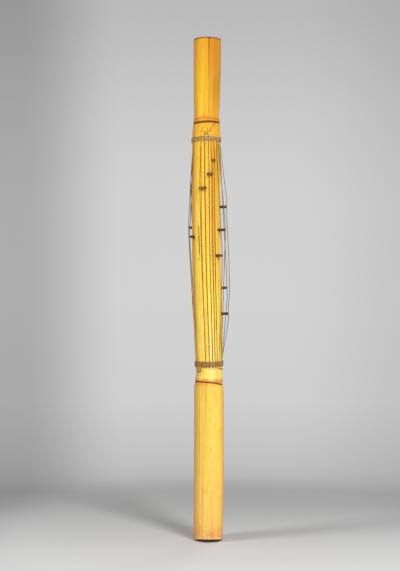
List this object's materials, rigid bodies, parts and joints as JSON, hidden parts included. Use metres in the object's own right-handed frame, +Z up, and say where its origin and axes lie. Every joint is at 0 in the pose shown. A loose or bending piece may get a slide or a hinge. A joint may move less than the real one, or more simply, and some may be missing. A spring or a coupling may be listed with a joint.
{
  "type": "tube zither",
  "caption": "Tall bamboo tube with strings lifted from its own skin, held by two fibre bindings and raised by small sliding bridges.",
  "frame": {"origin": "centre of the foot hollow's mouth, on the plane that the tube stands on", "axes": "+Z up the tube towards its head, -Y to the front with the most strings, +X to the right seen from the front"},
  "size_m": [0.0958, 0.0869, 1.15],
  "materials": {
    "bamboo_skin": "smooth golden bamboo skin with a soft sheen",
    "string_strip": "narrow strip of bamboo skin, brown at its cut sides",
    "bridge_wood": "dark brown carved block, worn",
    "upper_fibre": "olive brown twisted plant fibre",
    "lower_fibre": "dark brown twisted plant fibre"
  },
  "bodies": {
    "root": {"tube": "bamboo_skin", "lower_binding": "lower_fibre", "upper_binding": "upper_fibre", "upper_tail": "upper_fibre", "lower_loop": "lower_fibre", "lower_tail": "lower_fibre", "string_01": "string_strip", "string_02": "string_strip", "string_03": "string_strip", "string_04": "string_strip", "string_05": "string_strip", "string_06": "string_strip", "string_07": "string_strip", "string_08": "string_strip", "string_09": "string_strip", "string_10": "string_strip", "string_11": "string_strip", "string_12": "string_strip", "string_13": "string_strip", "string_14": "string_strip", "string_15": "string_strip", "string_16": "string_strip"},
    "bridge_01_body": {"bridge_01": "bridge_wood"},
    "bridge_02_body": {"bridge_02": "bridge_wood"},
    "bridge_03_body": {"bridge_03": "bridge_wood"},
    "bridge_04_body": {"bridge_04": "bridge_wood"},
    "bridge_05_body": {"bridge_05": "bridge_wood"},
    "bridge_06_body": {"bridge_06": "bridge_wood"},
    "bridge_07_body": {"bridge_07": "bridge_wood"},
    "bridge_08_body": {"bridge_08": "bridge_wood"},
    "bridge_09_body": {"bridge_09": "bridge_wood"},
    "bridge_10_body": {"bridge_10": "bridge_wood"},
    "bridge_11_body": {"bridge_11": "bridge_wood"},
    "bridge_12_body": {"bridge_12": "bridge_wood"},
    "bridge_13_body": {"bridge_13": "bridge_wood"},
    "bridge_14_body": {"bridge_14": "bridge_wood"},
    "bridge_15_body": {"bridge_15": "bridge_wood"}
  },
  "joints": [
    {"name": "bridge_01_slide", "type": "slide", "parent": "root", "child": "bridge_01_body", "axis": [-0.0106, 0.0061, 0.9999], "range_m": [-0.012, 0.012]},
    {"name": "bridge_02_slide", "type": "slide", "parent": "root", "child": "bridge_02_body", "axis": [-0.0097, 0.0048, 0.9999], "range_m": [-0.012, 0.012]},
    {"name": "bridge_03_slide", "type": "slide", "parent": "root", "child": "bridge_03_body", "axis": [-0.0094, 0.0074, 0.9999], "range_m": [-0.012, 0.012]},
    {"name": "bridge_04_slide", "type": "slide", "parent": "root", "child": "bridge_04_body", "axis": [-0.0113, 0.0057, 0.9999], "range_m": [-0.012, 0.012]},
    {"name": "bridge_05_slide", "type": "slide", "parent": "root", "child": "bridge_05_body", "axis": [-0.0195, -0.0055, 0.9998], "range_m": [-0.012, 0.012]},
    {"name": "bridge_06_slide", "type": "slide", "parent": "root", "child": "bridge_06_body", "axis": [-0.0105, -0.006, 0.9999], "range_m": [-0.012, 0.012]},
    {"name": "bridge_07_slide", "type": "slide", "parent": "root", "child": "bridge_07_body", "axis": [-0.0037, 0.0118, 0.9999], "range_m": [-0.012, 0.012]},
    {"name": "bridge_08_slide", "type": "slide", "parent": "root", "child": "bridge_08_body", "axis": [-0.0112, 0.0093, 0.9999], "range_m": [-0.012, 0.012]},
    {"name": "bridge_09_slide", "type": "slide", "parent": "root", "child": "bridge_09_body", "axis": [-0.0289, 0.0065, 0.9996], "range_m": [-0.012, 0.012]},
    {"name": "bridge_10_slide", "type": "slide", "parent": "root", "child": "bridge_10_body", "axis": [-0.0076, -0.0001, 1], "range_m": [-0.012, 0.012]},
    {"name": "bridge_11_slide", "type": "slide", "parent": "root", "child": "bridge_11_body", "axis": [-0.0148, 0, 0.9999], "range_m": [-0.012, 0.012]},
    {"name": "bridge_12_slide", "type": "slide", "parent": "root", "child": "bridge_12_body", "axis": [-0.0249, -0.0042, 0.9997], "range_m": [-0.012, 0.012]},
    {"name": "bridge_13_slide", "type": "slide", "parent": "root", "child": "bridge_13_body", "axis": [-0.0005, -0.0023, 1], "range_m": [-0.012, 0.012]},
    {"name": "bridge_14_slide", "type": "slide", "parent": "root", "child": "bridge_14_body", "axis": [0.0024, -0.0023, 1], "range_m": [-0.012, 0.012]},
    {"name": "bridge_15_slide", "type": "slide", "parent": "root", "child": "bridge_15_body", "axis": [-0.0044, -0.0004, 1], "range_m": [-0.012, 0.012]}
  ]
}
